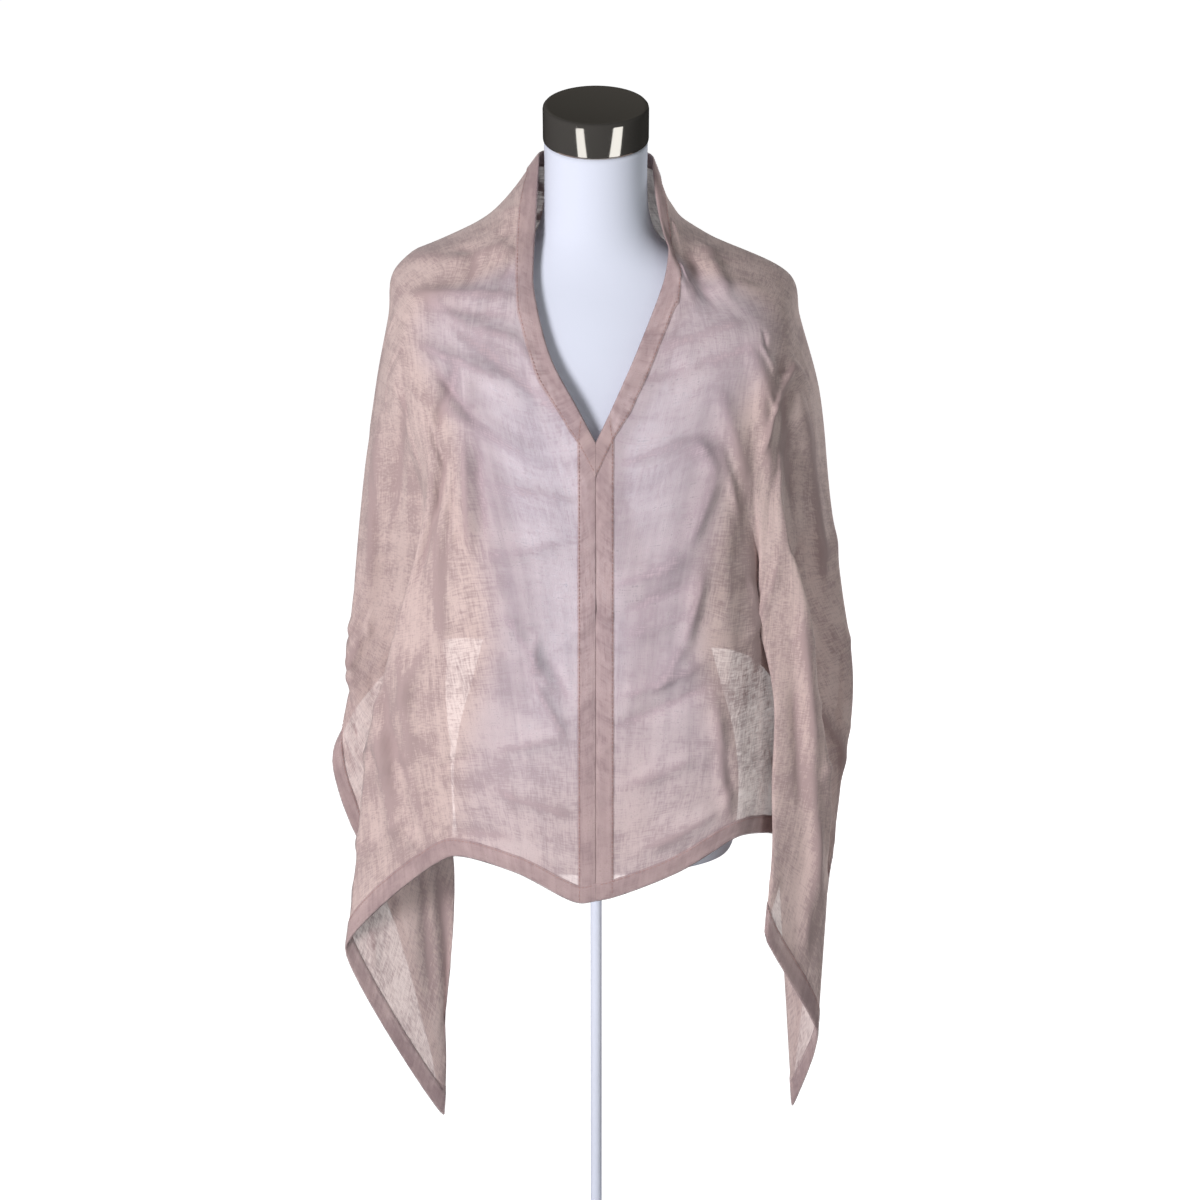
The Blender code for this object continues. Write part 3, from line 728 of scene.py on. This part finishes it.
def shell_material(settings):
    """Cool white lacquer with a soft gloss and a faint orange peel."""
    material, tree, shader = new_material("white_shell")
    vector = place_output(tree, "Object")
    peel = noise(tree, vector, (140.0, 140.0, 140.0), 2.0)
    cloud = noise(tree, vector, (7.0, 7.0, 7.0), 2.0)
    dim = tuple(c * 0.96 for c in settings.shell)
    set_shader(tree, shader, {
        "Base Color": colour_between(tree, settings.shell, dim, cloud),
        "Roughness": value_between(tree, 0.42, 0.54, cloud),
        "Normal": bump(tree, peel, 0.08, 0.4 * MM), "Specular IOR Level": 0.3,
        "Coat Weight": 0.08, "Coat Roughness": 0.3})
    return material


def metal_material(settings):
    """Dark polished metal with faint turning marks round the cap's axis."""
    material, tree, shader = new_material("chrome")
    marks = noise(tree, place_output(tree, "Object"), (8.0, 8.0, 900.0), 2.0)
    set_shader(tree, shader, {
        "Base Color": (*settings.metal, 1.0), "Metallic": 0.9,
        "Roughness": value_between(tree, 0.05, 0.11, marks),
        "Normal": bump(tree, marks, 0.03, 0.2 * MM)})
    return material


def edge_strip(points, normal, flat, inward):
    """Points, normals and flat places on lines that keep given distances from a grid's first row.

    The grid's columns run in from that edge. Each place is read along its column at the length that
    lies at the distance square to the edge, which is the distance over the sine of their angle.
    """
    edge = unit(np.gradient(points[:, 0], axis=0))
    lead = unit(points[:, LEAD_ROWS] - points[:, 0])
    slant = np.sqrt(np.clip(1 - np.sum(edge * lead, axis=-1) ** 2, 0.3, 1.0))
    run = lengths(points, 1)
    pick = np.arange(len(points))
    lines = []
    for distance in inward:
        place = distance / slant
        after = np.clip((run < place[:, None]).sum(axis=1), 1, run.shape[1] - 1)
        low = run[pick, after - 1]
        part = ((place - low) / (run[pick, after] - low))[:, None]
        lines.append([grid[pick, after - 1] * (1 - part) + grid[pick, after] * part
                      for grid in (points, normal, flat)])
    return [np.stack(rows, axis=1) for rows in zip(*lines)]


def hem_band(points, normal, flat, hem_width, lift):
    """Points and flat places of a hem that wraps the edge, on both faces of the cloth.

    Each face stands off the cloth by the lift, along the normal, and the edge out from the cloth.
    """
    inward = np.array(HEM_SHARES) * hem_width
    edge_line = len(HEM_SHARES)
    side = np.concatenate((np.full(edge_line, 1.0), (0.0,), np.full(edge_line, -1.0)))
    side[0] = side[-1] = HEM_CORNER
    base, way, uv = edge_strip(points, unit(normal), flat,
                               np.concatenate((inward, (0.0,), inward[::-1])))
    edge = unit(np.gradient(points[:, 0], axis=0))
    out = unit(np.cross(way[:, edge_line], edge))
    out *= np.sign(np.sum(out * (base[:, edge_line] - base[:, edge_line // 2]), axis=-1,
                          keepdims=True))
    base[:, edge_line] += out * lift
    return base + unit(way) * (side * lift)[None, :, None], uv


def stitch_run(points, normal, settings, lift):
    """Short sewn bars laid end to end along a line, each a low hexagonal prism with closed ends."""
    run = lengths(points, 0)
    pitch = settings.stitch_pitch
    starts = np.arange(pitch, run[-1] - pitch, pitch)
    (first, way), (second, _) = ([np.stack([np.interp(places, run, grid[:, k]) for k in range(3)],
                                           axis=-1) for grid in (points, normal)]
                                 for places in (starts, starts + settings.stitch_length))
    lead = unit(second - first)
    way = unit(way)
    side = unit(np.cross(lead, way))
    angle = np.linspace(0.0, 2 * math.pi, STITCH_SIDES, endpoint=False)
    rim = (side[:, None] * np.cos(angle)[None, :, None]
           + way[:, None] * np.sin(angle)[None, :, None] * STITCH_FLATTEN)
    rings = [(first, second)[end][:, None] + way[:, None] * (lift + STITCH_RADIUS * rise)
             + rim * (STITCH_RADIUS * share) for end, share, rise in STITCH_RINGS]
    rings[1] = rings[1] + lead[:, None] * STITCH_RADIUS * STITCH_SHIFT
    rings[2] = rings[2] - lead[:, None] * STITCH_RADIUS * STITCH_SHIFT
    corners = np.concatenate(rings, axis=1)
    n = STITCH_SIDES
    body = [[r * n + a, r * n + (a + 1) % n, (r + 1) * n + (a + 1) % n, (r + 1) * n + a]
            for r in range(3) for a in range(n)]
    ends = [[3, 2, 1, 0], [5, 4, 3, 0], [18, 19, 20, 21], [18, 21, 22, 23]]
    faces = np.array(body + ends)[None] + (np.arange(len(corners)) * 4 * n)[:, None, None]
    return corners.reshape(-1, 3), faces.reshape(-1, 4)


def hem_edges(sheet):
    """Each hem's edge grid, its own row first: name, points, normals and flat places."""
    grids = (sheet.points, sheet.normal, sheet.flat)
    left_tip = sheet.column("left tuck")
    right_tip = sheet.column("right tuck")
    low = [grid[:, ::-1] for grid in grids]
    seam = [grid.transpose(1, 0, 2) for grid in grids]
    return {
        "neck_hem": list(grids),
        "left_front_hem": [grid[:left_tip + 1] for grid in low],
        "lower_hem": [grid[left_tip:right_tip + 1] for grid in low],
        "right_front_hem": [grid[right_tip:] for grid in low],
        "left_centre_hem": seam,
        "right_centre_hem": [grid[:, ::-1] for grid in seam],
    }


class PONCHO_OT_panel(bpy.types.Operator):
    """Adds the creased sheet of gauze."""
    bl_idname = "poncho.panel"
    bl_label = "Gauze Panel"

    def execute(self, context):
        """Builds the sheet from its grid."""
        settings = context.scene.poncho_cloth
        sheet = cloth_of(settings)
        material = gauze_material("gauze", settings.gauze, settings.gauze_cover,
                                  settings.gauze_loose_shaded, settings.loose_cover)
        add_mesh("poncho_panel", sheet.points.reshape(-1, 3), grid_faces(*sheet.points.shape[:2]),
                 material, "gauze", "panel", sheet.flat.reshape(-1, 2),
                 (("looseness_and_shade", sheet.loose_and_shade), ("press_and_shade", sheet.press_and_shade)))
        return {"FINISHED"}


class PONCHO_OT_hems(bpy.types.Operator):
    """Adds the hems, folded over every edge of the gauze."""
    bl_idname = "poncho.hems"
    bl_label = "Folded Hems"

    def execute(self, context):
        """Builds one band for each edge."""
        settings = context.scene.poncho_cloth
        material = gauze_material("gauze_hem", settings.hem, settings.hem_cover, settings.hem,
                                  settings.hem_cover)
        for name, grids in hem_edges(cloth_of(settings)).items():
            lift = settings.hem_lift * (CENTRE_LIFT if "centre" in name else 1.0)
            band, flat = hem_band(*grids, settings.hem_width, lift)
            add_mesh("poncho_" + name, band.reshape(-1, 3), grid_faces(*band.shape[:2]), material,
                     "gauze_hem", name, flat.reshape(-1, 2))
        return {"FINISHED"}


class PONCHO_OT_stitches(bpy.types.Operator):
    """Adds the running stitches along the hems."""
    bl_idname = "poncho.stitches"
    bl_label = "Hem Stitching"

    def execute(self, context):
        """Builds every stitch as a small raised bar."""
        settings = context.scene.poncho_cloth
        material = thread_material(settings)
        for name, grids in hem_edges(cloth_of(settings)).items():
            line, way, _ = edge_strip(*grids, (settings.hem_width * STITCH_PLACE,))
            run = stitch_run(line[:, 0], way[:, 0], settings, settings.hem_lift)
            add_mesh("stitches_" + name, *run, material, "gauze_hem")
        return {"FINISHED"}


def form_points(sides, levels):
    """The form's shell: a smooth loft through its rings, half ellipses to the front and back."""
    rows = np.array(FORM_RINGS, dtype=float)
    height = through(rows, np.linspace(0.0, len(rows) - 1.0, levels), np.ones(len(rows)))
    angle = np.linspace(0.0, 2 * math.pi, sides, endpoint=False)[:, None]
    high, half, front, back, share = (height[:, k] for k in range(5))
    x = half * np.cos(angle)
    reach = np.where(np.sin(angle) < 0, front, back) * np.sin(angle)
    y = NECK_TOP[0] * share + reach * np.cos(NECK_LEAN * share)
    z = high + reach * np.sin(NECK_LEAN * share)
    return np.stack((x, y, z), axis=-1) * MM


def turned(profile, sides):
    """A profile of (radius, height) pairs turned about the upright axis."""
    rows = np.array(profile, dtype=float)
    angle = np.linspace(0.0, 2 * math.pi, sides, endpoint=False)[:, None]
    radius, height = rows[:, 0] * MM, rows[:, 1] * MM
    radius = np.maximum(radius, 1e-6)
    x = radius * np.cos(angle)
    y = radius * np.sin(angle)
    return np.stack((x, y, np.broadcast_to(height, x.shape)), axis=-1)


class PONCHO_OT_form(bpy.types.Operator):
    """Adds the limbless dress form."""
    bl_idname = "poncho.form"
    bl_label = "Dress Form"

    def execute(self, context):
        """Builds the shell with its flat underside and top."""
        points = form_points(FORM_SIDES, FORM_LEVELS)
        caps = []
        for ring, shares in ((points[:, 0], FORM_FOOT_SHARES), (points[:, -1], FORM_TOP_SHARES)):
            middle = ring.mean(axis=0)
            caps.append(np.stack([middle + (ring - middle) * max(s, 1e-5) for s in shares], axis=1))
        grid = np.concatenate((caps[0], points, caps[1]), axis=1)
        add_mesh("form_shell", grid.reshape(-1, 3), grid_faces(*grid.shape[:2], closed=True),
                 shell_material(context.scene.poncho_stand), "white_shell", "dress_form")
        return {"FINISHED"}


class PONCHO_OT_stand(bpy.types.Operator):
    """Adds the neck cap, the pole and the base."""
    bl_idname = "poncho.stand"
    bl_label = "Cap, Pole and Base"

    def execute(self, context):
        """Turns each profile, and leans the cap with the neck."""
        settings = context.scene.poncho_stand
        shell = bpy.data.materials["white_shell"]
        cap = turned(CAP_PROFILE, settings.sides)
        cos, sin = math.cos(NECK_LEAN), math.sin(NECK_LEAN)
        x, y, z = cap[..., 0], cap[..., 1], cap[..., 2] + CAP_GAP
        cap = np.stack((x, NECK_TOP[0] * MM + y * cos - z * sin,
                        NECK_TOP[1] * MM + y * sin + z * cos), axis=-1)
        for name, grid, material, slot, node in (
                ("cap_metal", cap, metal_material(settings), "chrome", "neck_cap"),
                ("stand_pole", turned(POLE_PROFILE, POLE_SIDES), shell, "white_shell", "pole"),
                ("stand_base", turned(BASE_PROFILE, settings.sides), shell, "white_shell", "base")):
            add_mesh(name, grid.reshape(-1, 3), grid_faces(*grid.shape[:2], closed=True), material,
                     slot, node)
        return {"FINISHED"}


LIGHTS = (
    # name, place (m), place aimed at (m), width, height (m), power (W), colour
    ("key", (-1.75, -2.5, 1.45), (0.0, -0.1, 0.8), 0.9, 0.9, 90.0, (1.0, 0.97, 1.0)),
    ("fill", (1.6, -2.6, 1.6), (0.0, -0.1, 0.8), 1.6, 1.6, 5.0, (0.95, 1.0, 0.93)),
    ("back", (2.0, 2.4, 1.3), (0.0, 0.1, 0.8), 0.9, 0.9, 52.0, (1.0, 0.99, 1.0)),
    ("low_left", (-0.71, -0.95, 0.325), (0.0, -0.06, 1.24), 0.44, 0.7, 1.6, (0.97, 0.98, 1.0)),
    ("low_right", (0.89, -0.72, 0.48), (0.0, -0.06, 1.24), 0.50, 0.7, 1.9, (0.97, 0.98, 1.0)),
    ("top_glow", (0.0, 1.9, 2.8), (0.0, 0.0, 1.28), 3.2, 2.0, 0.6, (1.0, 0.93, 0.80)),
)
MIRRORED = ("low_left", "low_right", "top_glow")     # the lights that glossy surfaces mirror


class PONCHO_OT_stage(bpy.types.Operator):
    """Adds the floor, the soft lights and the camera."""
    bl_idname = "poncho.stage"
    bl_label = "Stage"

    def execute(self, context):
        """Sets the stage round the object."""
        settings = context.scene.poncho_stage
        scene = context.scene
        mesh = bpy.data.meshes.new("floor")
        mesh.from_pydata([(x * FLOOR_HALF, y * FLOOR_HALF, 0)
                          for x, y in ((-1, -1), (1, -1), (1, 1), (-1, 1))], [], [(0, 1, 2, 3)])
        material, tree, shader = new_material("floor")
        set_shader(tree, shader, {
            "Base Color": (*settings.floor, 1.0), "Roughness": 1.0, "Specular IOR Level": 0.0,
            "Emission Color": (1.0, 1.0, 1.0, 1.0), "Emission Strength": settings.floor_glow})
        mesh.materials.append(material)
        floor = bpy.data.objects.new("floor", mesh)
        context.collection.objects.link(floor)
        floor.visible_diffuse = False
        floor.visible_glossy = False

        world = bpy.data.worlds.new("studio")
        scene.world = world
        world.use_nodes = True
        background = world.node_tree.nodes["Background"]
        background.inputs["Color"].default_value = (1.0, 1.0, 1.0, 1.0)
        background.inputs["Strength"].default_value = settings.sky
        world.cycles_visibility.glossy = False

        for name, place, aim, width, height, power, colour in LIGHTS:
            light = bpy.data.lights.new(name, "AREA")
            light.shape = "RECTANGLE"
            light.size = width
            light.size_y = height
            light.energy = power
            light.color = colour
            lamp = bpy.data.objects.new(name, light)
            context.collection.objects.link(lamp)
            lamp.location = place
            lamp.visible_glossy = name in MIRRORED
            x, y, z = np.array(aim) - np.array(place)
            lamp.rotation_euler = (math.acos(-z / math.sqrt(x * x + y * y + z * z)), 0.0,
                                   math.atan2(-x, y))

        camera = bpy.data.objects.new("camera", bpy.data.cameras.new("camera"))
        context.collection.objects.link(camera)
        camera.data.lens = settings.lens
        camera.data.sensor_width = SENSOR_WIDTH
        camera.location = (CAMERA_SHIFT, -settings.distance * math.cos(settings.tilt),
                           settings.middle + settings.distance * math.sin(settings.tilt))
        camera.rotation_euler = (math.pi / 2 - settings.tilt, 0.0, 0.0)
        scene.camera = camera
        scene.view_settings.view_transform = "Standard"
        scene.cycles.transparent_max_bounces = 32
        return {"FINISHED"}


class PONCHO_PT_panel(bpy.types.Panel):
    """Lists the settings and the operators."""
    bl_idname = "PONCHO_PT_panel"
    bl_label = "Poncho on Dress Form"
    bl_space_type = "VIEW_3D"
    bl_region_type = "UI"
    bl_category = "Poncho"

    def draw(self, context):
        """Draws each settings group, with its operators below it."""
        for group, operators in PANEL_GROUPS:
            settings = getattr(context.scene, group)
            box = self.layout.box()
            for name in settings.__annotations__:
                box.prop(settings, name)
            for operator in operators:
                box.operator(operator.bl_idname)


PANEL_GROUPS = (
    ("poncho_cloth", (PONCHO_OT_panel, PONCHO_OT_hems, PONCHO_OT_stitches)),
    ("poncho_stand", (PONCHO_OT_form, PONCHO_OT_stand)),
    ("poncho_stage", (PONCHO_OT_stage,)),
)
CLASSES = (ClothSettings, StandSettings, StageSettings, PONCHO_OT_panel, PONCHO_OT_hems,
           PONCHO_OT_stitches, PONCHO_OT_form, PONCHO_OT_stand, PONCHO_OT_stage, PONCHO_PT_panel)


def register():
    """Registers the classes and hangs the settings on the scene."""
    for cls in CLASSES:
        bpy.utils.register_class(cls)
    bpy.types.Scene.poncho_cloth = PointerProperty(type=ClothSettings)
    bpy.types.Scene.poncho_stand = PointerProperty(type=StandSettings)
    bpy.types.Scene.poncho_stage = PointerProperty(type=StageSettings)


def unregister():
    """Takes the settings off the scene and the classes out."""
    del bpy.types.Scene.poncho_stage
    del bpy.types.Scene.poncho_stand
    del bpy.types.Scene.poncho_cloth
    for cls in reversed(CLASSES):
        bpy.utils.unregister_class(cls)


def main():
    register()
    bpy.ops.poncho.stage()
    bpy.ops.poncho.form()
    bpy.ops.poncho.stand()
    bpy.ops.poncho.panel()
    bpy.ops.poncho.hems()
    bpy.ops.poncho.stitches()


if __name__ == "__main__":
    main()
